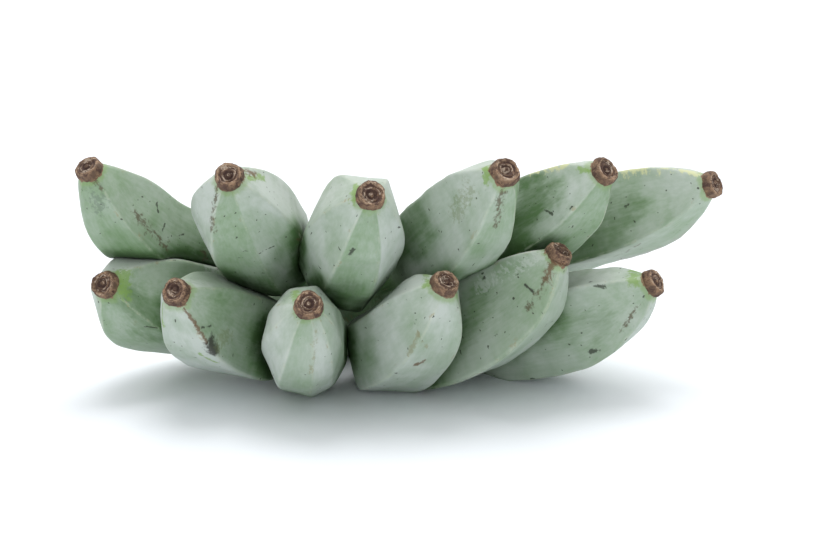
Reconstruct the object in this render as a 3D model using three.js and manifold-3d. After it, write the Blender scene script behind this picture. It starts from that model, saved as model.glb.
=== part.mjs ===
// A hand of green cooking plantains, cut from its stalk and lying on a flat surface.
// Twelve thick, angular fingers grow from one crown in two rows of six. The lower row
// lies on the surface, and the upper row lies in the gaps of the lower one. Each finger ends
// in the dry brown remains of its flower. Millimetres, +Z up, the surface at z = 0.
import * as THREE from "three";
import { mergeVertices } from "three/addons/utils/BufferGeometryUtils.js";
import Module from "manifold-3d";

const wasm = await Module();
wasm.setup();

// The fan of the hand: stations are degrees round the stalk that the hand was cut from,
// 0 towards -Y and positive towards +X. The pedicels of the fingers start on a ring round it.
const FAN_CENTRE = [-30, 96.5];
const PEDICEL_RING = 58;

// A finger's shape, in shares of its length or of its full radius.
const PEDICEL_SHARE = 0.36;
const SWELL_FROM = 0.06;
const SWELL_TO = 0.42;
const TAPER_FROM = 0.5;
const TAPER_POWER = 3.6;
const TIP_LIFT = 0.15;
const BEND_POWER = 1.2;
const SHAPED_FROM = 0.1;
const SHAPED_TO = 0.4;
const ROUND_FROM = 0.84;

// How sharp the ridges between a finger's flat sides are, and how round its two ends.
const RIDGE_SHARPNESS = 14;
const ROUND_SHARPNESS = 3;

// One row per finger: where its pedicel leaves the crown (station in degrees and height),
// its length and width, its depth as a share of the width, the way it points in plan at the
// crown and at the tip, its slope at the crown and at the tip, and the ways its flat sides face
// about its own axis (0 to its right as seen from its tip with +Z up, 90 up).
const FINGERS = [
  {
    name: "lower_1", station: -58, height: 22.3, length: 125, width: 44.2, depth: 1.08,
    heading: [-45, -21.6], slope: [11, 22.4], sides: [9, 89, 149, 214, 284],
  },
  {
    name: "lower_2", station: -31, height: 17.3, length: 127.5, width: 40.3, depth: 1.11,
    heading: [-25, -20.1], slope: [6, 36.3], sides: [352, 72, 132, 200, 268],
  },
  {
    name: "lower_3", station: -12, height: 18.8, length: 136, width: 39.6, depth: 1.25,
    heading: [-11, 12.3], slope: [-1, 40.2], sides: [207, 259, 295, 325, 0, 46, 92, 130, 166],
  },
  {
    name: "lower_4", station: 13, height: 12.4, length: 134, width: 39.4, depth: 1.11,
    heading: [2.5, 36.9], slope: [3, 49.8], sides: [194, 264, 338, 54, 118],
  },
  {
    name: "lower_5", station: 37, height: 13.2, length: 142, width: 38, depth: 1.08,
    heading: [16, 59.6], slope: [3.5, 55.1], sides: [167, 277, 327, 57, 77],
  },
  {
    name: "lower_6", station: 62, height: 15, length: 151, width: 44.7, depth: 1.05,
    heading: [33, 58.9], slope: [2.8, 32.6], sides: [196, 276, 340, 56, 100],
  },
  {
    name: "upper_1", station: -59, height: 46, length: 141, width: 36, depth: 1.07,
    heading: [-42, -29.9], slope: [11.5, 50.5], sides: [8, 90, 152, 218, 286],
  },
  {
    name: "upper_2", station: -32, height: 46.3, length: 133, width: 48.1, depth: 0.94,
    heading: [-10, -8.4], slope: [23, 40.2], sides: [210, 273, 311, 19, 85, 134],
  },
  {
    name: "upper_3", station: -6, height: 44.4, length: 142, width: 42.6, depth: 1.21,
    heading: [5, 15.9], slope: [23, 32.1], sides: [202, 262, 312, 10, 84, 146],
  },
  {
    name: "upper_4", station: 20, height: 44.4, length: 150, width: 35.2, depth: 1.21,
    heading: [28, 23.9], slope: [23, 37.7], sides: [195, 275, 333, 35, 103],
  },
  {
    name: "upper_5", station: 43, height: 43.8, length: 148, width: 41, depth: 1,
    heading: [42, 40.7], slope: [23.8, 33.9], sides: [176, 256, 322, 36, 92],
  },
  {
    name: "upper_6", station: 65, height: 43.2, length: 164, width: 38.9, depth: 1.1,
    heading: [66, 52.5], slope: [22.8, 19.2], sides: [168, 258, 324, 38, 84],
  },
];

// The dry remains of the flower on a finger's tip.
const NUB_RADIUS = 6.4;
const NUB_COLLAR = 6.9;
const NUB_LENGTH = 4.4;
const NUB_CRATER = 1.4;
const NUB_KNOB = 1.7;
const NUB_RIM = 1;
const NUB_STEP = 0.4;
const COLLAR_SHARE = 0.3;
const SHOULDER_SHARE = 0.8;

// The crown: a rounded pad on an arc round the stalk, cut hollow where the stalk was,
// with a stub for each pedicel.
const CROWN_OUTER = 53;
const CROWN_THICKNESS = 24;
const CUT_RADIUS = 38;
const CROWN_STATIONS = [-62, 67];
const CROWN_HEIGHTS = [0, 60];
const CROWN_EDGE = 8;
const STUB_LENGTH = 16;
const STUB_FLARE = 1.4;

// The gap between two pieces that touch.
const GAP = 0.3;

// How finely the surfaces are divided.
const PER_SIDE = 4;
const ALONG = 15;
const ROW_CROWDING = 1.3;
const SUBSTEPS = 8;
const NUB_AROUND = 12;
const STUB_AROUND = 14;
const CROWN_AROUND = 12;
const CROWN_EDGE_STEPS = 3;
const CUT_AROUND = 48;
const MERGE_DISTANCE = 1e-4;

// The edge of the block below the surface.
const GROUND_SIZE = 400;

const GREEN = 0xa9bfae;
const PALE = 0xb7b58a;
const BROWN = 0x7a5844;
const SKIN_ROUGHNESS = 0.6;
const CROWN_ROUGHNESS = 0.8;
const NUB_ROUGHNESS = 0.9;

const rad = THREE.MathUtils.degToRad;
const smooth = THREE.MathUtils.smoothstep;
const mix = THREE.MathUtils.lerp;

// The finger's radius at s, from 0 at the crown to 1 at the tip.
function radiusAt(finger, s) {
  const full = finger.width / 2;
  const swollen = mix(PEDICEL_SHARE, 1, smooth(s, SWELL_FROM, SWELL_TO));
  const u = Math.max(0, (s - TAPER_FROM) / (1 - TAPER_FROM));
  const tapered = 1 - (1 - NUB_RADIUS / full) * u ** TAPER_POWER;
  return full * swollen * tapered;
}

// How far a finger's section reaches at the angle theta, for a radius of 1: flat sides with round
// corners.
function sectionAt(finger, theta, sharpness) {
  let sum = 0;
  for (const side of finger.sides) sum += Math.max(0, Math.cos(theta - rad(side))) ** sharpness;
  return sum ** (-1 / sharpness);
}

// The angles at which a finger's section is drawn: each ridge, and even steps across the side after it.
function sectionAngles(finger) {
  const angles = [];
  finger.sides.forEach((side, k) => {
    const before = finger.sides.at(k - 1);
    const after = finger.sides[(k + 1) % finger.sides.length];
    const from = side - THREE.MathUtils.euclideanModulo(side - before, 360) / 2;
    const to = side + THREE.MathUtils.euclideanModulo(after - side, 360) / 2;
    for (let i = 0; i < PER_SIDE; i++) angles.push(rad(mix(from, to, i / PER_SIDE)));
  });
  return angles;
}

// The share of a finger's length that its rows reach, crowded towards the tip.
function shareAt(row) {
  return 1 - Math.max(0, 1 - row / ALONG) ** ROW_CROWDING;
}

// The centreline as frames: a point, the way along it, its side and its upper side.
function centreline(finger) {
  const start = rad(finger.station);
  const at = new THREE.Vector3(
    FAN_CENTRE[0] + PEDICEL_RING * Math.sin(start),
    FAN_CENTRE[1] - PEDICEL_RING * Math.cos(start),
    finger.height,
  );
  const frames = [];
  for (let i = 0; i <= ALONG * SUBSTEPS; i++) {
    const s = shareAt(i / SUBSTEPS);
    const heading = rad(mix(finger.heading[0], finger.heading[1], s));
    const slope = rad(mix(finger.slope[0], finger.slope[1], s ** BEND_POWER));
    const along = new THREE.Vector3(
      Math.sin(heading) * Math.cos(slope),
      -Math.cos(heading) * Math.cos(slope),
      Math.sin(slope),
    );
    const side = new THREE.Vector3(Math.cos(heading), Math.sin(heading), 0);
    const up = new THREE.Vector3().crossVectors(along, side);
    const lift = s > TAPER_FROM ? TIP_LIFT * (finger.width / 2 - radiusAt(finger, s)) : 0;
    if (i % SUBSTEPS === 0) frames.push({ s, at: at.clone().addScaledVector(up, lift), along, side, up });
    at.addScaledVector(along, finger.length * (shareAt((i + 1) / SUBSTEPS) - s));
  }
  return frames;
}

// A straight blank turned on a lathe, then bent along the centreline and pressed into its angular
// section. A blank with grow above 0 is that much thicker all round.
function fingerGeometry(finger, grow = 0) {
  const angles = sectionAngles(finger);
  const profile = [new THREE.Vector2(0, 0)];
  for (let i = 0; i <= ALONG; i++) profile.push(new THREE.Vector2(1, i));
  profile.push(new THREE.Vector2(0, ALONG));
  const blank = new THREE.LatheGeometry(profile, angles.length);
  const frames = centreline(finger);
  const position = blank.getAttribute("position");
  for (let i = 0; i < position.count; i++) {
    const x = position.getX(i);
    const z = position.getZ(i);
    const frame = frames[Math.round(position.getY(i))];
    const turn = THREE.MathUtils.euclideanModulo(Math.atan2(-z, x) / (2 * Math.PI), 1);
    const theta = angles[Math.round(turn * angles.length) % angles.length];
    const shaped = smooth(frame.s, SHAPED_FROM, SHAPED_TO) * (1 - smooth(frame.s, ROUND_FROM, 1));
    const section = sectionAt(finger, theta, mix(ROUND_SHARPNESS, RIDGE_SHARPNESS, shaped));
    const reach = Math.hypot(x, z) * (radiusAt(finger, frame.s) * section + grow);
    const point = frame.at
      .clone()
      .addScaledVector(frame.side, reach * Math.cos(theta))
      .addScaledVector(frame.up, reach * mix(1, finger.depth, shaped) * Math.sin(theta));
    position.setXYZ(i, point.x, point.y, point.z);
  }
  return blank;
}

// The flower remains: a collar, a rim round a crater, and a small knob in it, turned about the
// finger's tip.
function flowerEndGeometry(finger) {
  const rim = NUB_RADIUS - NUB_RIM;
  const floor = NUB_LENGTH - NUB_CRATER;
  const profile = [
    [0, 0],
    [NUB_RADIUS - NUB_STEP, 0],
    [NUB_COLLAR, NUB_LENGTH * COLLAR_SHARE],
    [NUB_RADIUS, NUB_LENGTH * SHOULDER_SHARE],
    [rim, NUB_LENGTH],
    [rim - NUB_RIM, NUB_LENGTH - NUB_STEP],
    [NUB_KNOB + 2 * NUB_STEP, floor],
    [NUB_KNOB, floor + NUB_STEP],
    [NUB_KNOB / 2, NUB_LENGTH - NUB_STEP],
    [0, NUB_LENGTH - NUB_STEP / 2],
  ].map(([radius, height]) => new THREE.Vector2(radius, height));
  const tip = centreline(finger)[ALONG];
  const turn = new THREE.Matrix4().makeBasis(tip.side, tip.along, tip.up.clone().negate());
  return new THREE.LatheGeometry(profile, NUB_AROUND)
    .translate(0, GAP, 0)
    .applyMatrix4(turn)
    .translate(tip.at.x, tip.at.y, tip.at.z);
}

// The pad of the crown: an arc with round ends in plan and round edges.
function padGeometry() {
  const half = CROWN_THICKNESS / 2;
  const middle = CROWN_OUTER - half;
  const [first, last] = CROWN_STATIONS.map((station) => rad(station - 90));
  const onMiddle = (angle) => [
    FAN_CENTRE[0] + middle * Math.cos(angle),
    FAN_CENTRE[1] + middle * Math.sin(angle),
  ];
  const outline = new THREE.Shape();
  outline.absarc(...FAN_CENTRE, CROWN_OUTER - CROWN_EDGE, first, last, false);
  outline.absarc(...onMiddle(last), half - CROWN_EDGE, last, last + Math.PI, false);
  outline.absarc(...FAN_CENTRE, middle - half + CROWN_EDGE, last, first, true);
  outline.absarc(...onMiddle(first), half - CROWN_EDGE, first + Math.PI, first + 2 * Math.PI, false);
  const pad = new THREE.ExtrudeGeometry(outline, {
    depth: CROWN_HEIGHTS[1] - CROWN_HEIGHTS[0] - 2 * CROWN_EDGE,
    curveSegments: CROWN_AROUND,
    bevelSize: CROWN_EDGE,
    bevelThickness: CROWN_EDGE,
    bevelSegments: CROWN_EDGE_STEPS,
  });
  return pad.translate(0, 0, CROWN_HEIGHTS[0] + CROWN_EDGE);
}

// The stalk that the crown was cut from, which leaves its hollow face.
function stalkGeometry() {
  return new THREE.CylinderGeometry(CUT_RADIUS, CUT_RADIUS, 3 * CROWN_HEIGHTS[1], CUT_AROUND)
    .rotateX(Math.PI / 2)
    .translate(...FAN_CENTRE, 0);
}

// The stub that a finger's pedicel grows from, flared towards the pad.
function stubGeometry(finger) {
  const root = centreline(finger)[0];
  const radius = radiusAt(finger, 0);
  const turn = new THREE.Matrix4().makeBasis(root.side, root.along, root.up.clone().negate());
  return new THREE.CylinderGeometry(radius, radius * STUB_FLARE, STUB_LENGTH, STUB_AROUND)
    .translate(0, -STUB_LENGTH / 2 - GAP, 0)
    .applyMatrix4(turn)
    .translate(root.at.x, root.at.y, root.at.z);
}

// A closed mesh as a solid that can be cut and joined.
function solidOf(geometry) {
  const bare = geometry.clone();
  bare.deleteAttribute("normal");
  bare.deleteAttribute("uv");
  const merged = mergeVertices(bare, MERGE_DISTANCE);
  const vertProperties = new Float32Array(merged.getAttribute("position").array);
  const triVerts = new Uint32Array(merged.index.array);
  return new wasm.Manifold(new wasm.Mesh({ numProp: 3, vertProperties, triVerts }));
}

function geometryOf(solid) {
  const { vertProperties, triVerts } = solid.getMesh();
  const geometry = new THREE.BufferGeometry();
  geometry.setAttribute("position", new THREE.BufferAttribute(vertProperties, 3));
  geometry.setIndex(new THREE.BufferAttribute(triVerts, 1));
  geometry.computeVertexNormals();
  return geometry;
}

// The block below the surface that the hand lies on, which gives the bellies and the crown their flats.
function groundSolid() {
  const block = new THREE.BoxGeometry(GROUND_SIZE, GROUND_SIZE, GROUND_SIZE);
  return solidOf(block.translate(0, 0, -GROUND_SIZE / 2));
}

// The fingers in the order in which they keep their form: the lower row first, and a row from
// its middle outwards. Each is pressed in where an earlier one lies against it.
function pressedFingers(ground) {
  const rank = (finger) => (finger.name.startsWith("lower") ? 0 : 1);
  const order = [...FINGERS].sort((a, b) => rank(a) - rank(b) || Math.abs(a.station) - Math.abs(b.station));
  const solids = new Map();
  for (const finger of order) {
    let solid = solidOf(fingerGeometry(finger)).subtract(ground);
    for (const earlier of order.slice(0, order.indexOf(finger))) {
      solid = solid.subtract(solidOf(fingerGeometry(earlier, GAP)));
    }
    solids.set(finger, solid);
  }
  return solids;
}

const hand = new THREE.Group();

function addPiece(name, geometry, color, roughness) {
  const mesh = new THREE.Mesh(geometry, new THREE.MeshStandardMaterial({ color, roughness }));
  mesh.name = name;
  hand.add(mesh);
}

const ground = groundSolid();
const stubs = FINGERS.map((finger) => solidOf(stubGeometry(finger)));
const crown = stubs
  .reduce((joined, stub) => joined.add(stub), solidOf(padGeometry()))
  .subtract(solidOf(stalkGeometry()))
  .subtract(ground);
addPiece("crown", geometryOf(crown), PALE, CROWN_ROUGHNESS);

const solids = pressedFingers(ground);
for (const finger of FINGERS) {
  addPiece(`finger_${finger.name}`, geometryOf(solids.get(finger)), GREEN, SKIN_ROUGHNESS);
  addPiece(`flower_end_${finger.name}`, flowerEndGeometry(finger), BROWN, NUB_ROUGHNESS);
}

export default hand;
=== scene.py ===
"""A hand of green cooking plantains, with the finish of the real fruit, on a pale floor."""
import math

import bpy
import numpy as np
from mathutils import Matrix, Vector
from mathutils.bvhtree import BVHTree


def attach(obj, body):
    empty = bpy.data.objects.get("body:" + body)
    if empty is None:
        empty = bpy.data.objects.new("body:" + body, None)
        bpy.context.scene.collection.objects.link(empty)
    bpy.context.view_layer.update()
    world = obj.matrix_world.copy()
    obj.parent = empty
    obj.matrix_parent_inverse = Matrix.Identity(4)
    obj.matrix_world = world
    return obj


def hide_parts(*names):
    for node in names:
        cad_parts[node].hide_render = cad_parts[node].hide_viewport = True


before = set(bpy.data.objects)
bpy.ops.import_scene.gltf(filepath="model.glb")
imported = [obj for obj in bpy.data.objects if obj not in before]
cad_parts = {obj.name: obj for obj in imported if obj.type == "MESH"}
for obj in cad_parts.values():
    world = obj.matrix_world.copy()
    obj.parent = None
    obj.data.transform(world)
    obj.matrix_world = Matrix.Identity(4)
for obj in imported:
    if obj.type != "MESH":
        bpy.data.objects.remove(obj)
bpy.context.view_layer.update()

MM = 0.001

# The hand as it grew, in millimetres: the solids are made from the same values, with blunter ridges.
FAN_CENTRE = (-30, 96.5)
PEDICEL_RING = 58
PEDICEL_SHARE = 0.36
SWELL_FROM, SWELL_TO = 0.06, 0.42
TAPER_FROM, TAPER_POWER = 0.5, 3.6
TIP_LIFT = 0.15
BEND_POWER = 1.2
SHAPED_FROM, SHAPED_TO = 0.1, 0.4
ROUND_FROM = 0.84
RIDGE_SHARPNESS, ROUND_SHARPNESS = 42, 3
NUB_RADIUS, NUB_LENGTH = 6.4, 4.4
CUT_RADIUS = 38

# A row per finger: station, height, length, width, share of depth, heading at crown and tip,
# slope at crown and tip, and the ways that the flat sides face.
FINGERS = {
    "lower_1": (-58, 22.3, 125, 44.2, 1.08, (-45, -21.6), (11, 22.4), (9, 89, 149, 214, 284)),
    "lower_2": (-31, 17.3, 127.5, 40.3, 1.11, (-25, -20.1), (6, 36.3), (352, 72, 132, 200, 268)),
    "lower_3": (
        -12, 18.8, 136, 39.6, 1.25, (-11, 12.3), (-1, 40.2), (207, 259, 295, 325, 0, 46, 92, 130, 166),
    ),
    "lower_4": (13, 12.4, 134, 39.4, 1.11, (2.5, 36.9), (3, 49.8), (194, 264, 338, 54, 118)),
    "lower_5": (37, 13.2, 142, 38, 1.08, (16, 59.6), (3.5, 55.1), (167, 277, 327, 57, 77)),
    "lower_6": (62, 15, 151, 44.7, 1.05, (33, 58.9), (2.8, 32.6), (196, 276, 340, 56, 100)),
    "upper_1": (-59, 46, 141, 36, 1.07, (-42, -29.9), (11.5, 50.5), (8, 90, 152, 218, 286)),
    "upper_2": (-32, 46.3, 133, 48.1, 0.94, (-10, -8.4), (23, 40.2), (210, 273, 311, 19, 85, 134)),
    "upper_3": (-6, 44.4, 142, 42.6, 1.21, (5, 15.9), (23, 32.1), (202, 262, 312, 10, 84, 146)),
    "upper_4": (20, 44.4, 150, 35.2, 1.21, (28, 23.9), (23, 37.7), (195, 275, 333, 35, 103)),
    "upper_5": (43, 43.8, 148, 41, 1, (42, 40.7), (23.8, 33.9), (176, 256, 322, 36, 92)),
    "upper_6": (65, 43.2, 164, 38.9, 1.1, (66, 52.5), (22.8, 19.2), (168, 258, 324, 38, 84)),
}

# How pale the bloom is on each flat side, in the order of the sides: partly the bloom that each side kept
# and partly painted light and shade, paler on sides that face up to the light and darker on shaded ones; and
# how far the change from one side to the next reaches, in degrees.
FACET_BLOOM_AND_LIGHT = {
    "lower_1": (0.55, 1.3, 1.1, 0.9, 0.5),
    "lower_2": (0.5, 1.0, 1.0, 1.1, 1.1),
    "lower_3": (1.1, 0.66, 0.92, 0.7, 0.7, 0.9, 0.9, 0.9, 1.1),
    "lower_4": (0.85, 0.95, 0.5, 0.9, 1.1),
    "lower_5": (0.62, 0.9, 0.7, 1.2, 1.3),
    "lower_6": (0.68, 0.95, 0.75, 0.9, 1.1),
    "upper_1": (0.5, 0.66, 0.8, 0.55, 0.42),
    "upper_2": (1.0, 0.52, 0.9, 1.1, 0.9, 1.0),
    "upper_3": (0.9, 0.42, 1.05, 1.0, 0.9, 0.8),
    "upper_4": (0.78, 0.66, 0.4, 0.8, 0.9),
    "upper_5": (0.8, 0.36, 0.36, 0.9, 1.1),
    "upper_6": (0.72, 0.66, 0.7, 0.8, 0.9),
}
SIDE_BLEND = 4

# How finely a finger is divided, and how far its root reaches into the crown.
ROWS = 128
ROW_CROWDING = 1.25
PER_SIDE = 20
CENTRELINE_POINTS = 801
ROOT_SHARE = 0.035

# Gentle lumps of a finger's surface, as wavelength and height, and the shares of the length where they
# begin, are full and begin to fade.
LUMPS = ((46, 0.35), (31, 0.3), (22, 0.2), (15, 0.12), (10, 0.07))
LUMPS_FROM, LUMPS_FULL, LUMPS_FADE = 0.05, 0.3, 0.88

# The gap that is left where two fingers press on each other, and how far the dent spreads, in points.
CONTACT_GAP = 0.15
CONTACT_BLUR = 10

# How far away another finger is noticed, for the painted shade between fingers, what facing up adds to that
# distance, so that peel facing up to the light gets less of it, and between which shares of facing up, and
# what counts as far from any ridge.
NEAR_LIMIT = 16.0
UP_EASE = 14.0
UP_FROM, UP_TO = 0.1, 0.9
RIDGE_FAR = 9

# The flower end's outline from its base to the middle of its crater: radius and height.
FLOWER_PROFILE = (
    (5.9, -1.6), (6.5, -0.6), (6.9, 0.4), (6.95, 1.3), (6.7, 2.2), (6.6, 2.9), (6.3, 3.6), (5.8, 4.2),
    (5.2, 4.4), (4.6, 4.1), (4.2, 3.5), (3.8, 3.3), (3.4, 3.7), (2.9, 3.9), (2.5, 3.4), (2.1, 2.8),
    (1.7, 2.7), (1.4, 3.0), (1.1, 3.7), (0.6, 4.1),
)
FLOWER_AROUND = 72
FLOWER_STEPS = 3

# Its wrinkles as a number of folds and a share of the radius, how far a wrinkle lifts the rim, how far the
# middle strays, from what height, and the radius of the crater.
FLOWER_FOLDS = ((2, 0.03), (3, 0.03), (5, 0.02), (9, 0.012), (14, 0.01), (23, 0.008))
FLOWER_LIFT = 3
FLOWER_ASTRAY = 0.6
FLOWER_ASTRAY_FROM = 2.4
CRATER_RADIUS = 5

# The crown: its grain, its smoothing, how far from the cut's rim is noticed, and its height over the floor.
CROWN_VOXEL = 0.9
CROWN_PASSES = 14
CROWN_EASE = 0.6
RIM_LIMIT = 12
CROWN_CLEARANCE = 0.3

# The camera, at the photograph's viewing angle.
CAMERA_TARGET = (8, 34.5, 53)
CAMERA_ELEVATION = 12
CAMERA_DISTANCE = 760
CAMERA_LENS = 61

# The floor's reach each way in metres, the room's tones low and high and the way to its bright side, and
# the suns: name, place, energy and width in degrees, aimed at one point.
FLOOR_REACH = 12.0
ROOM_LOW = (0.27, 0.29, 0.305, 1.0)
ROOM_HIGH = (1.0, 1.0, 1.0, 1.0)
ROOM_BRIGHT_WAY = (-0.08, 0.57, 0.8)
ROOM_EASE = 0.6
SUNS = (
    ("key", (0.08, 0.4, 1.35), 1.5, 36),
    ("front", (0.0, -1.3, 0.45), 0.6, 35),
)
SUN_TARGET = (0, 0, 0.05)


def smooth(value, low, high):
    share = np.clip((value - low) / (high - low), 0, 1)
    return share * share * (3 - 2 * share)


def mix(a, b, share):
    return a + (b - a) * share


def tube_faces(rows, columns):
    """Quads round rows of points, and a fan at each end to the two points that follow them."""
    index = np.arange(rows * columns).reshape(rows, columns)
    after = np.roll(index, -1, 1)
    quads = np.stack([index[:-1], index[1:], after[1:], after[:-1]], 2).reshape(-1, 4)
    first, last = rows * columns, rows * columns + 1
    fans = [(first, int(a), int(b)) for a, b in zip(index[0], after[0])]
    fans += [(last, int(b), int(a)) for a, b in zip(index[-1], after[-1])]
    return [tuple(quad) for quad in quads.tolist()] + fans


def with_ends(values, first, last):
    """A value for each point of the rows, and for the two end points that follow them."""
    return np.concatenate([values.ravel(), [first, last]])


class Finger:
    """A finger of the hand: its row of values, and its surface as rows of points round a centreline."""

    def __init__(self, name, row):
        self.name = name
        self.station, self.height, self.length, self.width, self.depth = row[:5]
        self.heading, self.slope, self.sides = row[5:]
        self.full = self.width / 2
        self.seed = np.random.default_rng(sorted(FINGERS).index(name) + 5)

    def radius(self, s):
        swollen = mix(PEDICEL_SHARE, 1, smooth(s, SWELL_FROM, SWELL_TO))
        u = np.clip((s - TAPER_FROM) / (1 - TAPER_FROM), 0, 1)
        return self.full * swollen * (1 - (1 - NUB_RADIUS / self.full) * u**TAPER_POWER)

    def shaped(self, s):
        return smooth(s, SHAPED_FROM, SHAPED_TO) * (1 - smooth(s, ROUND_FROM, 1))

    def section(self, theta, sharpness):
        total = sum(np.clip(np.cos(theta - math.radians(side)), 0, None) ** sharpness for side in self.sides)
        return total ** (-1 / sharpness)

    def ridges(self):
        """The angles of the ridges, each just before the side of the same number."""
        sides = np.array(self.sides, float)
        return sides - ((sides - np.roll(sides, 1)) % 360) / 2

    def angles(self):
        """The angles round a section, closer together at the ridges."""
        ridges = self.ridges()
        steps = np.arange(PER_SIDE) / PER_SIDE
        steps = (steps + 0.5 - 0.5 * np.cos(np.pi * steps)) / 2
        spans = (np.roll(ridges, -1) - ridges) % 360
        return np.radians(np.concatenate([start + span * steps for start, span in zip(ridges, spans)]))

    def centreline(self, shares):
        """Points, and the ways along, aside and up, at the given shares of the length."""
        fine = np.linspace(0, 1, CENTRELINE_POINTS)
        heading = np.radians(mix(*self.heading, fine))
        slope = np.radians(mix(*self.slope, fine**BEND_POWER))
        level = np.cos(slope)
        along = np.stack([np.sin(heading) * level, -np.cos(heading) * level, np.sin(slope)], 1)
        side = np.stack([np.cos(heading), np.sin(heading), 0 * heading], 1)
        up = np.cross(along, side)
        start = math.radians(self.station)
        root = np.array([
            FAN_CENTRE[0] + PEDICEL_RING * math.sin(start),
            FAN_CENTRE[1] - PEDICEL_RING * math.cos(start),
            self.height,
        ])
        steps = (along[1:] + along[:-1]) / 2 * self.length / (len(fine) - 1)
        at = root + np.concatenate([np.zeros((1, 3)), np.cumsum(steps, 0)])
        lift = np.where(fine > TAPER_FROM, TIP_LIFT * (self.full - self.radius(fine)), 0)
        at += up * lift[:, None]
        at, along, side, up = (
            np.stack([np.interp(shares, fine, values[:, k]) for k in range(3)], 1)
            for values in (at, along, side, up)
        )
        before = np.minimum(shares, 0)[:, None] * self.length
        return at + along * before, along, side, up

    def lumps(self, straight):
        """Gentle unevenness of the surface, in millimetres."""
        height = np.zeros(straight.shape[:-1])
        for wavelength, amount in LUMPS:
            way = self.seed.normal(size=3)
            way *= 2 * np.pi / wavelength / np.linalg.norm(way)
            height += amount * np.sin(straight @ way + self.seed.uniform(0, 2 * np.pi))
        return height

    def grow(self):
        """Lays out the surface before anything presses on it."""
        share = np.linspace(0, 1, ROWS)
        self.shares = np.concatenate([[-ROOT_SHARE, -ROOT_SHARE / 2], 1 - (1 - share) ** ROW_CROWDING])
        self.at, self.along, self.side, self.up = self.centreline(self.shares)
        self.theta = self.angles()
        radius = self.radius(self.shares)
        shaped = self.shaped(self.shares)
        sharpness = mix(ROUND_SHARPNESS, RIDGE_SHARPNESS, shaped)
        section = np.stack([self.section(self.theta, p) for p in sharpness])
        self.deep = mix(1, self.depth, shaped)[:, None]
        self.straight = np.stack([
            radius[:, None] * np.cos(self.theta),
            radius[:, None] * np.sin(self.theta),
            self.shares[:, None] * self.length * np.ones(len(self.theta)),
        ], 2)
        body = smooth(self.shares, LUMPS_FROM, LUMPS_FULL) * (1 - smooth(self.shares, LUMPS_FADE, 1))
        self.reach = radius[:, None] * section + self.lumps(self.straight) * body[:, None]
        gap = np.radians((np.degrees(self.theta)[:, None] - self.ridges() + 180) % 360 - 180)
        self.ridge = np.abs(gap).min(1) * radius[:, None]
        self.facet_bloom_and_light = self.side_values(FACET_BLOOM_AND_LIGHT[self.name]) * np.ones(radius.shape)[:, None]

    def side_values(self, values):
        """A value for each angle round the section, from one value per flat side."""
        ridges = self.ridges()
        spans = (np.roll(ridges, -1) - ridges) % 360
        past = (np.degrees(self.theta)[:, None] - ridges) % 360
        inside = smooth(past, 0, SIDE_BLEND) * (1 - smooth(past - spans, 0, SIDE_BLEND))
        return inside @ np.array(values) / inside.sum(1)

    def unrolled(self, share, degrees):
        """The place on the straightened finger of a share of its length and an angle round it."""
        radius = self.radius(share)
        theta = math.radians(degrees)
        return np.array([radius * math.cos(theta), radius * math.sin(theta), share * self.length])

    def directions(self):
        """The way from the centreline to each point of the surface, for a reach of 1."""
        flat = self.side[:, None] * np.cos(self.theta)[None, :, None]
        return flat + self.up[:, None] * np.sin(self.theta)[None, :, None] * self.deep[..., None]

    def points(self):
        points = self.at[:, None] + self.directions() * self.reach[..., None]
        points[..., 2] = np.maximum(points[..., 2], 0)
        return points

    def press(self, tree, low, high):
        """Lets a neighbour press this finger in where the two would cross."""
        ways = self.directions()
        points = self.points()
        inside = ((points > low) & (points < high)).all(2)
        dent = np.zeros(self.reach.shape)
        for row, column in zip(*np.nonzero(inside)):
            way = ways[row, column]
            scale = np.linalg.norm(way)
            hit, _, _, distance = tree.ray_cast(Vector(self.at[row]), Vector(way / scale))
            if hit is not None and distance - CONTACT_GAP < self.reach[row, column] * scale:
                dent[row, column] = self.reach[row, column] - (distance - CONTACT_GAP) / scale
        soft = dent.copy()
        for _ in range(CONTACT_BLUR):
            soft = (np.roll(soft, 1, 1) + 2 * soft + np.roll(soft, -1, 1)) / 4
            padded = np.pad(soft, ((1, 1), (0, 0)), "edge")
            soft = (padded[:-2] + 2 * soft + padded[2:]) / 4
        self.reach = self.reach - np.maximum(dent, soft)

    def faces(self):
        return tube_faces(*self.reach.shape)

    def vertices(self):
        """The points of the surface, row by row, and the middle of each end."""
        return np.concatenate([self.points().reshape(-1, 3), self.at[:1], self.at[-1:]])

    def tree(self):
        return BVHTree.FromPolygons(self.vertices().tolist(), self.faces())


def press_order():
    """The lower row before the upper one, and each row from its middle outwards."""
    return sorted(FINGERS, key=lambda name: (name.startswith("upper"), abs(FINGERS[name][0])))


def press_fingers(fingers):
    """Presses each finger in where it would cross an earlier one, and returns a search tree for each."""
    trees = {}
    for name in press_order():
        finger = fingers[name]
        for earlier, tree in trees.items():
            points = fingers[earlier].points()
            finger.press(tree, points.min((0, 1)) - 1, points.max((0, 1)) + 1)
        trees[name] = finger.tree()
    return trees


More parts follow.
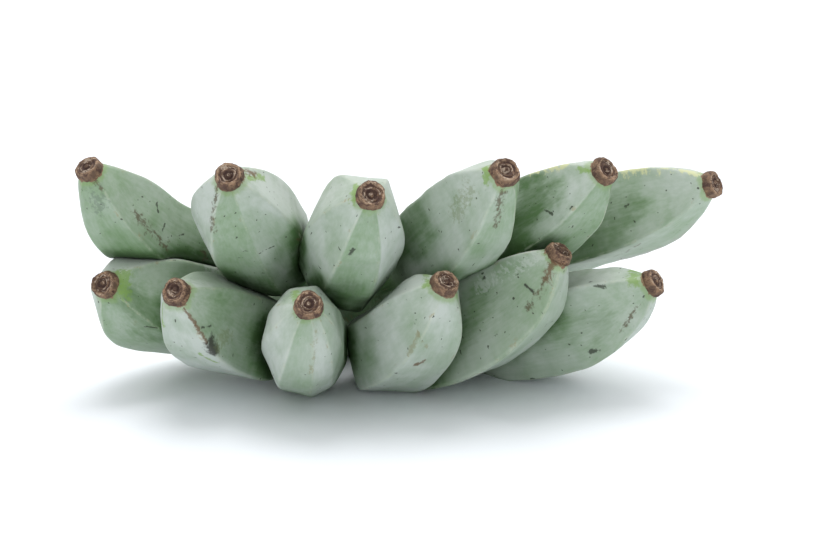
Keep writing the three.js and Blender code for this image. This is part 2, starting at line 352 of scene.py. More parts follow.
def nearness(finger, fingers, trees):
    """How far each vertex is from the nearest other finger, in millimetres, and more where it faces up,
    which sets the painted shade between fingers.
    """
    points = finger.vertices()
    near = np.full(len(points), NEAR_LIMIT)
    for other, tree in trees.items():
        if other == finger.name:
            continue
        theirs = fingers[other].points()
        low, high = theirs.min((0, 1)) - NEAR_LIMIT, theirs.max((0, 1)) + NEAR_LIMIT
        for k in np.nonzero(((points > low) & (points < high)).all(1))[0]:
            distance = tree.find_nearest(Vector(points[k]), near[k])[3]
            if distance is not None:
                near[k] = distance
    ways = finger.directions()
    facing_up = with_ends(ways[..., 2] / np.linalg.norm(ways, axis=2), 0, 0)
    return near + UP_EASE * smooth(facing_up, UP_FROM, UP_TO)


def link(name, data):
    """A new object in the scene, made from its data."""
    thing = bpy.data.objects.new(name, data)
    bpy.context.scene.collection.objects.link(thing)
    return thing


def mesh_object(name, vertices, faces, attributes):
    """A smooth mesh from points in millimetres, with float or vector attributes on its vertices."""
    mesh = bpy.data.meshes.new(name)
    mesh.from_pydata((np.asarray(vertices) * MM).tolist(), [], faces)
    mesh.shade_smooth()
    for key, values in attributes.items():
        values = np.asarray(values, np.float32)
        kind = "FLOAT_VECTOR" if values.ndim == 2 else "FLOAT"
        attribute = mesh.attributes.new(key, kind, "POINT")
        attribute.data.foreach_set("vector" if values.ndim == 2 else "value", values.ravel())
    return link(name, mesh)


def stand_in(piece, node, material):
    """Gives a piece its material, and lets it stand in for a node of the frame."""
    piece.data.materials.append(material)
    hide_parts(node)
    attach(piece, "root")


def srgb(red, green, blue):
    """A colour as seen, from 0 to 255, as the linear colour that a shader takes."""
    channels = [c / 255 for c in (red, green, blue)]
    return tuple(c / 12.92 if c <= 0.04045 else ((c + 0.055) / 1.055) ** 2.4 for c in channels) + (1.0,)


class Shader:
    """A material's node tree, built one node at a time. A value may be a number, a colour or a socket."""

    def __init__(self, name):
        self.material = bpy.data.materials.new(name)
        self.material.use_nodes = True
        self.tree = self.material.node_tree
        self.tree.nodes.clear()

    def add(self, kind, inputs=None, **settings):
        node = self.tree.nodes.new(kind)
        for key, value in settings.items():
            setattr(node, key, value)
        for key, value in (inputs or {}).items():
            if isinstance(value, bpy.types.NodeSocket):
                self.tree.links.new(value, node.inputs[key])
            else:
                node.inputs[key].default_value = value
        return node

    def attribute(self, name, output="Fac"):
        return self.add("ShaderNodeAttribute", attribute_name=name).outputs[output]

    def math(self, operation, a, b, clamp=False):
        return self.add("ShaderNodeMath", {0: a, 1: b}, operation=operation, use_clamp=clamp).outputs[0]

    def vector(self, operation, a, b, output=0):
        return self.add("ShaderNodeVectorMath", {0: a, 1: b}, operation=operation).outputs[output]

    def stretch(self, vector, scale):
        return self.vector("MULTIPLY", vector, scale)

    def noise(self, vector, scale, detail=2.0, roughness=0.5, output="Fac"):
        inputs = {"Vector": vector, "Scale": scale, "Detail": detail, "Roughness": roughness}
        return self.add("ShaderNodeTexNoise", inputs).outputs[output]

    def between(self, value, low, high, to_low=0.0, to_high=1.0):
        """The value's place from low to high, eased at both ends."""
        inputs = {"Value": value, "From Min": low, "From Max": high, "To Min": to_low, "To Max": to_high}
        return self.add("ShaderNodeMapRange", inputs, interpolation_type="SMOOTHSTEP").outputs[0]

    def times(self, *values):
        product = values[0]
        for value in values[1:]:
            product = self.math("MULTIPLY", product, value)
        return product

    def most(self, *values):
        largest = values[0]
        for value in values[1:]:
            largest = self.math("MAXIMUM", largest, value)
        return largest

    def over(self, base, colour, share):
        return self.add("ShaderNodeMix", {0: share, 6: base, 7: colour}, data_type="RGBA").outputs[2]

    def specks(self, vector, scale, size, chance):
        """Small spots, one in some of the cells of the given scale."""
        cells = self.add("ShaderNodeTexVoronoi", {"Vector": vector, "Scale": scale, "Randomness": 1.0})
        lot = self.add("ShaderNodeSeparateColor", {0: cells.outputs["Color"]})
        spot = self.between(cells.outputs["Distance"], size, size * 0.55)
        return self.times(spot, self.math("LESS_THAN", lot.outputs[0], chance))

    def to_segment(self, vector, start, end):
        """The distance from a point to the line between two others."""
        reach = tuple(end - start)
        offset = self.vector("SUBTRACT", vector, tuple(start))
        along = self.vector("DOT_PRODUCT", offset, reach, "Value")
        along = self.math("MULTIPLY", along, 1 / float(np.dot(reach, reach)), clamp=True)
        nearest = self.add("ShaderNodeVectorMath", {0: reach, "Scale": along}, operation="SCALE").outputs[0]
        return self.vector("LENGTH", self.vector("SUBTRACT", offset, nearest), (0, 0, 0), "Value")

    def finish(self, colour, roughness, height=None, relief=0.3, depth=0.0006, **fixed):
        """The surface shader. Relief is the strength of the bump, and depth its height in metres."""
        shader = self.add("ShaderNodeBsdfPrincipled", {"Base Color": colour, "Roughness": roughness})
        for key, value in fixed.items():
            shader.inputs[key.replace("_", " ")].default_value = value
        if height is not None:
            bump = self.add("ShaderNodeBump", {"Strength": relief, "Distance": depth, "Height": height})
            self.tree.links.new(bump.outputs[0], shader.inputs["Normal"])
        output = self.add("ShaderNodeOutputMaterial")
        self.tree.links.new(shader.outputs[0], output.inputs[0])
        return self.material


BLOOM = srgb(186, 195, 187)
PEEL = srgb(108, 140, 96)
# Painted shade: the darker green that stands in for shade between the fingers and on rubbed patches.
PEEL_IN_PAINTED_SHADE = srgb(56, 84, 44)
LIME = srgb(122, 156, 74)
STRAW = srgb(196, 203, 182)
TAN = srgb(150, 136, 100)
SPECK = srgb(46, 48, 36)
HUSK = srgb(128, 96, 74)

# Where the knife went through the crown.
FLESH, FLESH_STAIN, FLESH_SPOT = srgb(204, 188, 146), srgb(158, 126, 86), srgb(116, 86, 58)
STRAND, CUT_RIM = srgb(96, 68, 46), srgb(88, 62, 44)

# The dry flower ends.
DRY_DARK, DRY_LIGHT, DRY_GRAIN = srgb(96, 74, 58), srgb(142, 112, 86), srgb(78, 58, 46)
# The lighter rim and the pale fibres are partly painted highlights.
DRY_RIM_AND_HIGHLIGHT, DRY_FIBRE_AND_HIGHLIGHT = srgb(178, 148, 118), srgb(204, 186, 166)
DRY_FOLD, DRY_HOLLOW = srgb(72, 48, 40), srgb(66, 44, 38)

FLOOR_DIM, FLOOR_BRIGHT = srgb(238, 242, 247), srgb(246, 249, 254)

# The looks of marks on the peel: colour, strength, how much of the grain leaves them bare, and how far
# their edge strays, as a share of their width. Some lie a little below the peel.
MARK_LOOKS = {
    "lime": (LIME, 0.75, 0.0, 0.55),
    "cream": (srgb(204, 206, 156), 0.8, 0.0, 0.8),
    "ash": (srgb(162, 154, 151), 0.55, 0.0, 0.4),
    # Painted light: a paler patch on the tops of lower fingers that the upper row shades, partly paler
    # bloom.
    "bloom_and_painted_light": (BLOOM, 0.55, 0.0, 0.9),
    "olive": (srgb(112, 124, 78), 0.4, 0.42, 1.0),
    "tan": (srgb(138, 136, 104), 0.55, 0.4, 0.8),
    "grey": (srgb(96, 112, 98), 0.5, 0.0, 1.0),
    "brown": (srgb(104, 80, 54), 0.85, 0.15, 0.55),
    "broken": (srgb(84, 74, 50), 0.8, 0.49, 0.8),
    "dark": (srgb(48, 46, 40), 0.9, 0.1, 0.45),
    "dash": (srgb(44, 50, 36), 0.85, 0.1, 0.7),
}
SUNK_LOOKS = ("brown", "broken", "dark", "dash")
BARE_EASE = 0.08

# Marks that the photograph shows: finger, look, from and to (share of the length, degrees round), width.
MARKS = (
    ("lower_6", "ash", (0.96, 340), (0.72, 336), 8.0),
    ("lower_4", "ash", (0.95, 338), (0.62, 330), 8.0),
    ("upper_5", "ash", (0.93, 322), (0.66, 320), 8.0),
    ("upper_6", "ash", (0.9, 300), (0.62, 290), 6.0),
    # Painted light on the tops of lower fingers 1, 2 and 5, partly paler bloom.
    ("lower_1", "bloom_and_painted_light", (0.79, 93), (0.49, 47), 4.0),
    ("lower_2", "bloom_and_painted_light", (0.96, 63), (0.59, 42), 2.5),
    ("lower_5", "bloom_and_painted_light", (0.73, 137), (0.98, 147), 3.0),
    ("lower_1", "lime", (0.98, 47), (0.98, 352), 5),
    ("lower_1", "dash", (0.86, 319), (0.84, 326), 0.6),
    ("lower_1", "olive", (0.89, 307), (0.89, 311), 1.6),
    ("lower_2", "brown", (0.99, 308), (0.94, 312), 1.0),
    ("lower_2", "brown", (0.94, 312), (0.88, 312), 1.0),
    ("lower_2", "dark", (0.87, 315), (0.84, 312), 3.4),
    ("lower_2", "olive", (0.83, 326), (0.79, 336), 3.4),
    ("lower_2", "lime", (0.97, 204), (0.93, 236), 1.4),
    ("lower_2", "lime", (0.83, 291), (0.77, 302), 1.4),
    ("lower_2", "dash", (0.92, 318), (0.89, 331), 0.5),
    ("upper_1", "broken", (0.99, 319), (0.96, 325), 1.6),
    ("upper_1", "broken", (0.83, 348), (0.65, 343), 2.6),
    ("upper_1", "dash", (0.76, 28), (0.74, 18), 0.8),
    ("upper_1", "dash", (0.69, 8), (0.69, 358), 0.8),
    ("upper_1", "dash", (0.6, 8), (0.58, 13), 0.7),
    ("upper_1", "broken", (0.46, 8), (0.43, 358), 2.2),
    ("upper_1", "grey", (0.95, 299), (0.92, 299), 4.0),
    ("upper_2", "broken", (0.99, 220), (0.88, 242), 2.2),
    ("upper_2", "lime", (0.98, 18), (0.92, 35), 2.4),
    ("upper_2", "brown", (0.98, 42), (0.96, 35), 2.8),
    ("upper_2", "broken", (0.56, 18), (0.71, 340), 1.6),
    ("upper_2", "dash", (0.76, 305), (0.75, 315), 0.5),
    ("upper_3", "lime", (0.98, 128), (0.99, 177), 3.0),
    ("upper_3", "dash", (0.87, 241), (0.89, 244), 1.0),
    ("upper_3", "dash", (0.68, 214), (0.69, 217), 0.6),
    ("lower_3", "lime", (0.9, 107), (1.0, 132), 3.4),
    ("lower_3", "lime", (0.81, 60), (0.81, 43), 2.6),
    ("lower_3", "tan", (0.97, 289), (0.84, 273), 1.2),
    ("lower_4", "lime", (0.93, 84), (0.99, 152), 2.6),
    ("lower_4", "tan", (0.88, 222), (0.8, 227), 1.1),
    ("lower_4", "tan", (0.88, 222), (0.84, 247), 0.9),
    ("lower_4", "brown", (0.76, 247), (0.78, 256), 1.5),
    ("lower_5", "brown", (1.0, 197), (0.95, 202), 2.4),
    ("lower_5", "broken", (0.95, 202), (0.86, 207), 1.6),
    ("lower_5", "dark", (0.89, 178), (0.9, 197), 0.9),
    ("lower_5", "dash", (0.76, 132), (0.77, 132), 0.8),
    ("lower_6", "lime", (0.96, 80), (0.98, 150), 3.6),
    ("lower_6", "dash", (0.88, 150), (0.91, 153), 0.8),
    ("lower_6", "dash", (0.77, 223), (0.8, 227), 0.9),
    ("lower_6", "broken", (0.96, 209), (0.88, 223), 1.2),
    ("upper_4", "olive", (0.91, 181), (0.81, 192), 4.0),
    ("upper_4", "broken", (0.99, 252), (0.88, 265), 2.2),
    ("upper_4", "lime", (0.99, 154), (0.98, 186), 2.4),
    ("upper_5", "lime", (0.97, 146), (0.99, 160), 1.8),
    ("upper_5", "cream", (0.81, 132), (0.94, 136), 1.8),
    ("upper_5", "dash", (0.82, 190), (0.84, 200), 0.8),
    ("upper_6", "cream", (0.77, 126), (0.98, 119), 2.6),
    ("upper_6", "broken", (0.76, 225), (0.62, 257), 1.8),
    ("upper_6", "dash", (0.76, 170), (0.77, 170), 0.9),
)

# Where each finger's bloom has been rubbed off, which painted shade also darkens: from and to, how far round
# the line between, and its loss.
RUBBED_AND_SHADED = {
    "upper_5": ((0.8, 170), (0.67, 190), 17, 0.9),
    "upper_6": ((0.76, 176), (0.6, 196), 11, 0.6),
    "upper_4": ((0.64, 162), (0.48, 176), 10, 0.7),
    "lower_5": ((0.71, 159), (0.57, 191), 9, 0.45),
    "lower_4": ((0.68, 156), (0.63, 197), 7, 0.35),
    "lower_1": ((0.97, 329), (0.79, 319), 9, 0.6),
    "lower_2": ((0.9, 356), (0.67, 336), 12, 0.2),
    "lower_6": ((0.71, 186), (0.84, 198), 9, 0.4),
    "upper_2": ((0.7, 325), (0.56, 282), 9, 0.5),
    "upper_3": ((0.72, 256), (0.56, 249), 7, 0.5),
    "upper_1": ((0.61, 23), (0.44, 3), 10, 0.35),
    "lower_3": ((0.86, 8), (0.73, 330), 4, 0.3),
}


def add_marks(shader, finger, place, colour):
    """Lays a finger's marks over its colour, and returns it with the height that the marks take away."""
    ragged = shader.noise(place, 0.5, 3.0, 0.65)
    grain = shader.noise(shader.stretch(place, (1, 1, 0.35)), 0.6, 3.0, 0.6)
    sunk = 0.0
    for name, look, start, end, width in MARKS:
        if name != finger.name:
            continue
        tint, strength, bare, stray = MARK_LOOKS[look]
        first, last = (finger.unrolled(*point) for point in (start, end))
        distance = shader.to_segment(shader.attribute("straight", "Vector"), first, last)
        reach = stray * width
        fray = shader.between(ragged, 0.25, 0.75, -reach, reach)
        mask = shader.between(shader.math("ADD", distance, fray), width, 0.2 * width)
        if bare:
            mask = shader.times(mask, shader.between(grain, bare - BARE_EASE, bare + BARE_EASE))
        mask = shader.times(mask, strength)
        colour = shader.over(colour, tint, mask)
        if look in SUNK_LOOKS:
            sunk = shader.most(sunk, mask)
    return colour, sunk


def unrubbed_unshaded_share(shader, finger, straight, brushed):
    """How much of the bloom is left in and round the patch where it has been rubbed off; the same share sets
    its painted shade.
    """
    start, end, width, loss = RUBBED_AND_SHADED[finger.name]
    distance = shader.to_segment(straight, finger.unrolled(*start), finger.unrolled(*end))
    stray = shader.between(brushed, 0.3, 0.7, -0.3 * width, 0.3 * width)
    return shader.between(shader.math("ADD", distance, stray), 0.2 * width, 1.4 * width, 1 - loss, 1.0)


def speck_mask(shader, place):
    """Small specks all over: round ones of two sizes, and short ones along the finger and across it."""
    warp = shader.noise(place, 0.5, 2.0, 0.5, "Color")
    bent = shader.vector("ADD", place, shader.stretch(warp, (2.4, 2.4, 2.4)))
    return shader.most(
        shader.specks(bent, 0.13, 0.085, 0.7),
        shader.specks(bent, 0.36, 0.15, 0.22),
        shader.specks(shader.stretch(bent, (1.0, 1.0, 0.28)), 0.17, 0.085, 0.5),
        shader.specks(shader.stretch(bent, (0.3, 0.8, 1.0)), 0.15, 0.075, 0.45),
    )


def skin_material(finger):
    """Waxy green peel: a pale bloom, thinned and darkened by painted shade where other fingers are near,
    with painted light and shade per flat side, ridges, scars, specks and a brown tip.
    """
    shader = Shader("peel_" + finger.name)
    straight = shader.attribute("straight", "Vector")
    place = shader.vector("ADD", straight, tuple(finger.seed.uniform(-200, 200, 3)))
    near = shader.attribute("near")
    ridge = shader.attribute("ridge")
    share = shader.attribute("share")
    to_tip = shader.attribute("to_tip")

    patches = shader.noise(place, 0.035, 3.0, 0.6)
    mottle = shader.noise(place, 0.2, 4.0, 0.6)
    fibres = shader.noise(shader.stretch(place, (1, 1, 0.08)), 0.8, 3.0, 0.6)
    brushed = shader.noise(shader.stretch(place, (1, 1, 0.3)), 0.09, 4.0, 0.65)

    # Painted shade: the bloom thins and the green darkens where another finger is near, less on peel that
    # faces up to the light.
    unshaded_share = shader.between(near, 0.0, NEAR_LIMIT)
    off_crown = shader.between(share, 0.02, 0.45, 0.2, 1.0)
    # The bloom per flat side is partly painted light and shade: sides facing up to the light are paler,
    # shaded ones darker.
    bloom_and_painted_light = shader.times(shader.between(patches, 0.35, 0.6, 0.62, 1.0), off_crown, shader.attribute("facet_bloom_and_light"))
    bloom_and_painted_light = shader.times(bloom_and_painted_light, shader.between(unshaded_share, 0.0, 0.8, 0.05, 1.0))
    unrubbed_unshaded = unrubbed_unshaded_share(shader, finger, straight, brushed)
    bloom_and_painted_light = shader.times(bloom_and_painted_light, unrubbed_unshaded)
    bloom_and_painted_light = shader.math("ADD", bloom_and_painted_light, shader.between(brushed, 0.35, 0.65, -0.1, 0.07))
    bloom_and_painted_light = shader.math("ADD", bloom_and_painted_light, shader.between(mottle, 0.3, 0.7, -0.07, 0.05))
    bloom_and_painted_light = shader.math("ADD", bloom_and_painted_light, shader.between(fibres, 0.35, 0.65, -0.05, 0.04), clamp=True)

    unshaded_with_mottle = shader.math("ADD", unshaded_share, shader.times(mottle, 0.3))
    green = shader.over(PEEL_IN_PAINTED_SHADE, PEEL, shader.between(unshaded_with_mottle, 0.1, 0.75))
    # Painted shade: the rubbed patches are also darkened towards the shaded green.
    green = shader.over(green, PEEL_IN_PAINTED_SHADE, shader.times(shader.math("SUBTRACT", 1.0, unrubbed_unshaded), 0.6))
    colour = shader.over(green, BLOOM, bloom_and_painted_light)

    ragged = shader.noise(shader.stretch(place, (1, 1, 0.35)), 0.4, 3.0, 0.7)
    line = shader.between(ridge, 0.8, 0.2)
    colour = shader.over(colour, STRAW, shader.times(line, shader.between(ragged, 0.38, 0.68), 0.36))
    scuff = shader.times(shader.between(ridge, 2.2, 0.4), shader.between(ragged, 0.61, 0.69))
    colour = shader.over(colour, TAN, shader.times(scuff, 0.5))

    tip_noise = shader.noise(place, 0.3, 3.0, 0.6)
    frayed = shader.math("ADD", to_tip, shader.between(tip_noise, 0.25, 0.75, -0.7, 0.7))
    colour = shader.over(colour, LIME, shader.times(shader.between(frayed, 3.0, 1.2), 0.45))
    colour = shader.over(colour, HUSK, shader.between(frayed, 0.7, 0.0))

    specks = speck_mask(shader, place)
    colour = shader.over(colour, SPECK, shader.times(specks, 0.85))
    colour, sunk = add_marks(shader, finger, place, colour)

    height = shader.math("ADD", shader.times(mottle, 0.5), shader.times(fibres, 0.5))
    height = shader.math("SUBTRACT", height, shader.times(shader.most(specks, sunk), 0.5))
    roughness = shader.between(bloom_and_painted_light, 0.0, 1.0, 0.42, 0.58)
    return shader.finish(colour, roughness, height, relief=0.25, depth=0.0005, Specular_IOR_Level=0.4)


def crown_material():
    """Green stem tissue, fibrous, and cream to brown with dark strands where the knife went through."""
    shader = Shader("crown_tissue")
    place = shader.add("ShaderNodeTexCoord").outputs["Object"]
    place = shader.stretch(place, (1 / MM, 1 / MM, 1 / MM))
    cut = shader.attribute("cut")
    to_edge = shader.attribute("to_edge")
    broad = shader.noise(place, 0.05, 4.0, 0.6)
    fine = shader.noise(place, 0.5, 4.0, 0.6)
    fibres = shader.noise(shader.stretch(place, (1.0, 1.0, 0.12)), 0.9, 3.0, 0.6)
    green = shader.over(PEEL, BLOOM, shader.between(broad, 0.35, 0.65, 0.1, 0.6))
    green = shader.over(green, TAN, shader.times(shader.between(fine, 0.52, 0.7), 0.5))
    warp = shader.noise(place, 0.4, 2.0, 0.5, "Color")
    bent = shader.vector("ADD", place, shader.stretch(warp, (2.5, 2.5, 2.5)))
    strands = shader.most(
        shader.specks(bent, 0.55, 0.34, 0.7),
        shader.specks(shader.stretch(bent, (1.0, 1.0, 0.35)), 0.3, 0.22, 0.5),
    )
    stained = shader.math("ADD", shader.math("MULTIPLY", broad, 0.7), shader.math("MULTIPLY", fibres, 0.45))
    flesh = shader.over(FLESH, FLESH_STAIN, shader.between(stained, 0.42, 0.7))
    flesh = shader.over(flesh, FLESH_SPOT, shader.times(shader.between(fine, 0.5, 0.68), 0.45))
    flesh = shader.over(flesh, STRAND, shader.times(strands, 0.75))
    ragged = shader.math("ADD", to_edge, shader.between(fine, 0.3, 0.7, -1.6, 1.6))
    flesh = shader.over(flesh, CUT_RIM, shader.between(ragged, 3.6, 0.4))
    colour = shader.over(green, flesh, cut)
    height = shader.math("SUBTRACT", shader.math("ADD", fine, fibres), shader.times(strands, cut, 0.8))
    return shader.finish(colour, 0.65, height, relief=0.5, depth=0.0008)


def flower_end_material():
    """Dry flower remains: reddish brown, with dark folds, a lighter tan rim that is partly a painted
    highlight, and pale dry fibres that are partly painted highlights on the fold crests, round a rough
    crater.
    """
    shader = Shader("dry_flower_end")
    straight = shader.attribute("straight", "Vector")
    ring = shader.attribute("ring")
    sunk = shader.attribute("sunk")
    broad = shader.noise(straight, 0.3, 3.0, 0.6)
    fine = shader.noise(straight, 1.2, 4.0, 0.65)
    parts = shader.add("ShaderNodeSeparateXYZ", {0: straight})
    spiral = shader.add("ShaderNodeCombineXYZ", {
        0: shader.math("ADD", shader.math("MULTIPLY", ring, 1.1), shader.math("MULTIPLY", broad, 4.0)),
        1: shader.math("MULTIPLY", parts.outputs[0], 0.2),
        2: shader.math("MULTIPLY", parts.outputs[1], 0.2),
    })
    folds = shader.noise(spiral.outputs[0], 1.0, 3.0, 0.6)
    colour = shader.over(DRY_DARK, DRY_LIGHT, shader.between(broad, 0.38, 0.62))
    colour = shader.over(colour, DRY_GRAIN, shader.times(shader.between(fine, 0.46, 0.62), 0.75))
    # A lighter tan rim in patches, partly a painted highlight.
    rim = shader.times(shader.between(ring, 4.2, 5.0), shader.between(ring, 6.4, 5.7))
    colour = shader.over(colour, DRY_RIM_AND_HIGHLIGHT, shader.times(rim, shader.between(fine, 0.38, 0.58), 0.65))
    colour = shader.over(colour, DRY_FOLD, shader.times(shader.between(folds, 0.5, 0.58), 0.85))
    colour = shader.over(colour, DRY_HOLLOW, shader.between(sunk, 0.35, 1.3, 0.0, 0.75))
    # Pale dry fibres on the fold crests, partly painted highlights.
    pale_fibre_and_highlight = shader.times(
        shader.between(folds, 0.44, 0.39),
        shader.between(ring, 6.2, 4.6),
        shader.between(fine, 0.36, 0.5),
    )
    colour = shader.over(colour, DRY_FIBRE_AND_HIGHLIGHT, shader.times(pale_fibre_and_highlight, 0.75))
    height = shader.math("ADD", fine, shader.times(folds, -1.5))
    return shader.finish(colour, 0.75, height, relief=0.5, depth=0.0007)


def make_fingers():
    """Grows the fingers, presses them together and gives each its peel."""
    fingers = {name: Finger(name, row) for name, row in FINGERS.items()}
    for finger in fingers.values():
        finger.grow()
    trees = press_fingers(fingers)
    for name, finger in fingers.items():
        shares = np.repeat(finger.shares, len(finger.theta))
        attributes = {
            "straight": np.concatenate([finger.straight.reshape(-1, 3), np.zeros((2, 3))]),
            "near": nearness(finger, fingers, trees),
            "ridge": with_ends(finger.ridge, RIDGE_FAR, RIDGE_FAR),
            "facet_bloom_and_light": with_ends(finger.facet_bloom_and_light, 1, 1),
            "share": with_ends(shares, 0, 1),
            "to_tip": with_ends((1 - shares) * finger.length, finger.length, 0),
        }
        piece = mesh_object("peel_" + name, finger.vertices(), finger.faces(), attributes)
        stand_in(piece, "finger_" + name, skin_material(finger))
    return fingers


def flower_outline():
    """The flower end's outline, with more points between those given and its corners rounded."""
    corners = np.array(FLOWER_PROFILE)
    station = np.arange((len(corners) - 1) * FLOWER_STEPS + 1) / FLOWER_STEPS
    profile = np.stack([np.interp(station, np.arange(len(corners)), corners[:, k]) for k in range(2)], 1)
    for _ in range(2):
        profile[1:-1] = (profile[:-2] + 2 * profile[1:-1] + profile[2:]) / 4
    return profile


def flower_end(finger, material):
    """The wrinkled remains of the flower on one tip."""
    profile = flower_outline()
    theta = np.linspace(0, 2 * np.pi, FLOWER_AROUND, endpoint=False)
    radius = profile[:, :1] * np.ones(FLOWER_AROUND)
    height = profile[:, 1:] * np.ones(FLOWER_AROUND)
    wrinkle = np.zeros(radius.shape)
    for folds, amount in FLOWER_FOLDS:
        turn = finger.seed.uniform(0, 2 * np.pi)
        drift = finger.seed.uniform(-0.6, 0.6)
        wrinkle += amount * np.sin(folds * theta + turn + drift * height)
    radius = radius * (1 + wrinkle)
    height = height + FLOWER_LIFT * wrinkle * smooth(profile[:, 1:], 1, 4)
    at, along, side, up = (values[-1] for values in (finger.at, finger.along, finger.side, finger.up))
    out = side * np.cos(theta)[:, None] + up * np.sin(theta)[:, None]
    astray = finger.seed.uniform(-FLOWER_ASTRAY, FLOWER_ASTRAY, 2) @ np.stack([side, up])
    strays = (1 - smooth(radius, 1.5, 5.2))[..., None] * (profile[:, 1:, None] > FLOWER_ASTRAY_FROM)
    points = at + out[None] * radius[..., None] + along * height[..., None]
    points = points + astray * strays
    vertices = np.concatenate([
        points.reshape(-1, 3),
        [at + along * profile[0, 1], at + astray + along * (profile[-1, 1] + 0.1)],
    ])
    straight = np.stack([radius * np.cos(theta), radius * np.sin(theta), height], 2).reshape(-1, 3)
    straight = straight + finger.seed.uniform(-50, 50, 3)
    inner = (profile[:, :1] < CRATER_RADIUS) * (NUB_LENGTH - height)
    attributes = {
        "straight": np.concatenate([straight, straight[:1], straight[-1:]]),
        "ring": with_ends(radius, CRATER_RADIUS, 0),
        "sunk": with_ends(inner, 0, 0.4),
    }
    faces = tube_faces(*radius.shape)
    piece = mesh_object("flower_remains_" + finger.name, vertices, faces, attributes)
    stand_in(piece, "flower_end_" + finger.name, material)


def smooth_mesh(points, edges, moved, passes):
    """Relaxes points towards their neighbours' mean, each by its own share."""
    count = np.zeros(len(points))
    np.add.at(count, edges.ravel(), 1)
    for _ in range(passes):
        total = np.zeros(points.shape)
        np.add.at(total, edges[:, 0], points[edges[:, 1]])
        np.add.at(total, edges[:, 1], points[edges[:, 0]])
        points = mix(points, total / count[:, None], moved[:, None])
    return points


def fine_crown():
    """The solid crown's surface in even small faces: its points in millimetres, edges and faces."""
    piece = link("crown_pad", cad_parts["crown"].data.copy())
    remesh = piece.modifiers.new("remesh", "REMESH")
    remesh.mode = "VOXEL"
    remesh.voxel_size = CROWN_VOXEL * MM
    bpy.context.view_layer.update()
    shaped = piece.evaluated_get(bpy.context.evaluated_depsgraph_get()).to_mesh()
    points = np.empty(len(shaped.vertices) * 3)
    shaped.vertices.foreach_get("co", points)
    points = points.reshape(-1, 3) / MM
    edges = np.empty(len(shaped.edges) * 2, int)
    shaped.edges.foreach_get("vertices", edges)
    edges = edges.reshape(-1, 2)
    faces = [tuple(face.vertices) for face in shaped.polygons]
    bpy.data.objects.remove(piece)
    return points, edges, faces


def rim_distance(points, edges, cut):
    """How far each point of the cut face is from its rim, in millimetres, and the limit elsewhere."""
    rim = edges[cut[edges[:, 0]] != cut[edges[:, 1]]].ravel()
    rim_points = points[np.unique(rim)]
    tree = BVHTree.FromPolygons(rim_points.tolist(), [(k, k, k) for k in range(len(rim_points))])
    return np.array([
        (tree.find_nearest(Vector(point), RIM_LIMIT)[3] or RIM_LIMIT) if on_cut else RIM_LIMIT
        for point, on_cut in zip(points, cut)
    ])


def make_crown():
    """The crown, with soft fillets round the stubs and a crisp cut face."""
    points, edges, faces = fine_crown()
    plan = points[:, :2] - FAN_CENTRE
    cut = np.linalg.norm(plan, axis=1) < CUT_RADIUS + 0.4 * CROWN_VOXEL
    points = smooth_mesh(points, edges, np.where(cut, 0.0, CROWN_EASE), CROWN_PASSES)
    lump = 0.5 * np.sin(points @ (0.21, 0.13, 0.3)) + 0.35 * np.sin(points @ (-0.32, 0.41, 0.17))
    plan = points[:, :2] - FAN_CENTRE
    distance = np.linalg.norm(plan, axis=1)
    knife = CUT_RADIUS + 0.25 * np.sin(points[:, 2] * 0.8) + 0.3 * lump
    points[:, :2] += plan / distance[:, None] * np.where(cut, knife - distance, 0.4 * lump)[:, None]
    to_edge = rim_distance(points, edges, cut)
    points[:, 2] = np.maximum(points[:, 2], CROWN_CLEARANCE)
    piece = mesh_object("crown_tissue", points, faces, {"cut": cut.astype(float), "to_edge": to_edge})
    stand_in(piece, "crown", crown_material())


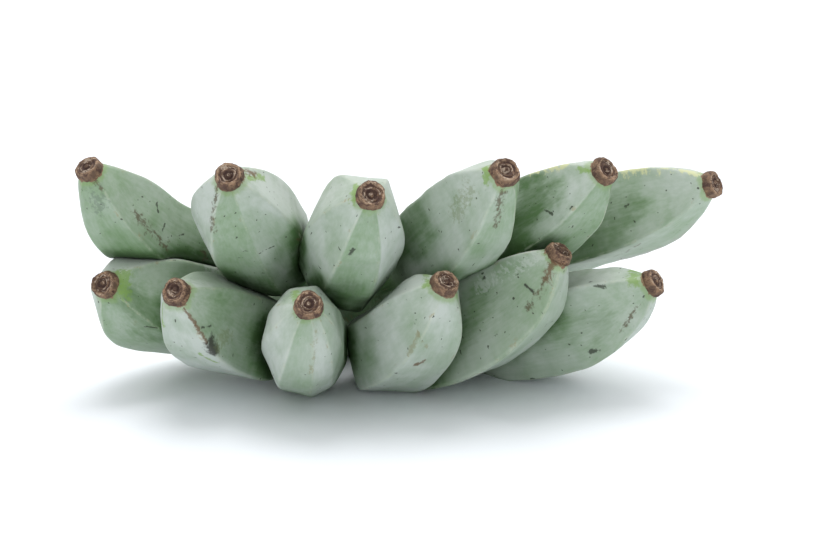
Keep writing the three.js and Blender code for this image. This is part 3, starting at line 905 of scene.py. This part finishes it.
def make_floor():
    corners = [(-1, -1), (1, -1), (1, 1), (-1, 1)]
    mesh = bpy.data.meshes.new("floor")
    mesh.from_pydata([(x * FLOOR_REACH, y * FLOOR_REACH, 0) for x, y in corners], [], [(0, 1, 2, 3)])
    floor = link("floor", mesh)
    shader = Shader("floor")
    place = shader.add("ShaderNodeTexCoord").outputs["Object"]
    tone = shader.over(FLOOR_DIM, FLOOR_BRIGHT, shader.noise(place, 3.0))
    floor.data.materials.append(shader.finish(tone, 0.6))


def aim(thing, place, target):
    """Puts a light or the camera at a place, facing a target."""
    thing.location = place
    thing.rotation_euler = (Vector(target) - Vector(place)).to_track_quat("-Z", "Y").to_euler()


def add_sun(name, place, energy, width):
    light = bpy.data.lights.new(name, "SUN")
    light.energy = energy
    light.angle = math.radians(width)
    aim(link(name, light), place, SUN_TARGET)


def make_light():
    """A white room that is brighter above and behind, a soft key light from there and a low front light."""
    world = bpy.data.worlds.new("studio")
    bpy.context.scene.world = world
    world.use_nodes = True
    nodes, links = world.node_tree.nodes, world.node_tree.links
    way = nodes.new("ShaderNodeTexCoord").outputs["Generated"]
    facing = nodes.new("ShaderNodeVectorMath")
    facing.operation = "DOT_PRODUCT"
    facing.inputs[1].default_value = ROOM_BRIGHT_WAY
    links.new(way, facing.inputs[0])
    share = nodes.new("ShaderNodeMapRange")
    share.interpolation_type = "SMOOTHSTEP"
    share.inputs["From Min"].default_value = -ROOM_EASE
    share.inputs["From Max"].default_value = ROOM_EASE
    links.new(facing.outputs["Value"], share.inputs["Value"])
    tone = nodes.new("ShaderNodeMix")
    tone.data_type = "RGBA"
    tone.inputs[6].default_value = ROOM_LOW
    tone.inputs[7].default_value = ROOM_HIGH
    links.new(share.outputs[0], tone.inputs[0])
    links.new(tone.outputs[2], nodes["Background"].inputs["Color"])
    for sun in SUNS:
        add_sun(*sun)
    bpy.context.scene.view_settings.view_transform = "Standard"


def make_camera():
    camera = bpy.data.cameras.new("camera")
    camera.lens = CAMERA_LENS
    camera_object = link("camera", camera)
    elevation = math.radians(CAMERA_ELEVATION)
    target = Vector(CAMERA_TARGET) * MM
    away = Vector((0, -math.cos(elevation), math.sin(elevation))) * CAMERA_DISTANCE * MM
    aim(camera_object, target + away, target)
    bpy.context.scene.camera = camera_object


fingers = make_fingers()
husk = flower_end_material()
for finger in fingers.values():
    flower_end(finger, husk)
make_crown()
make_floor()
make_light()
make_camera()
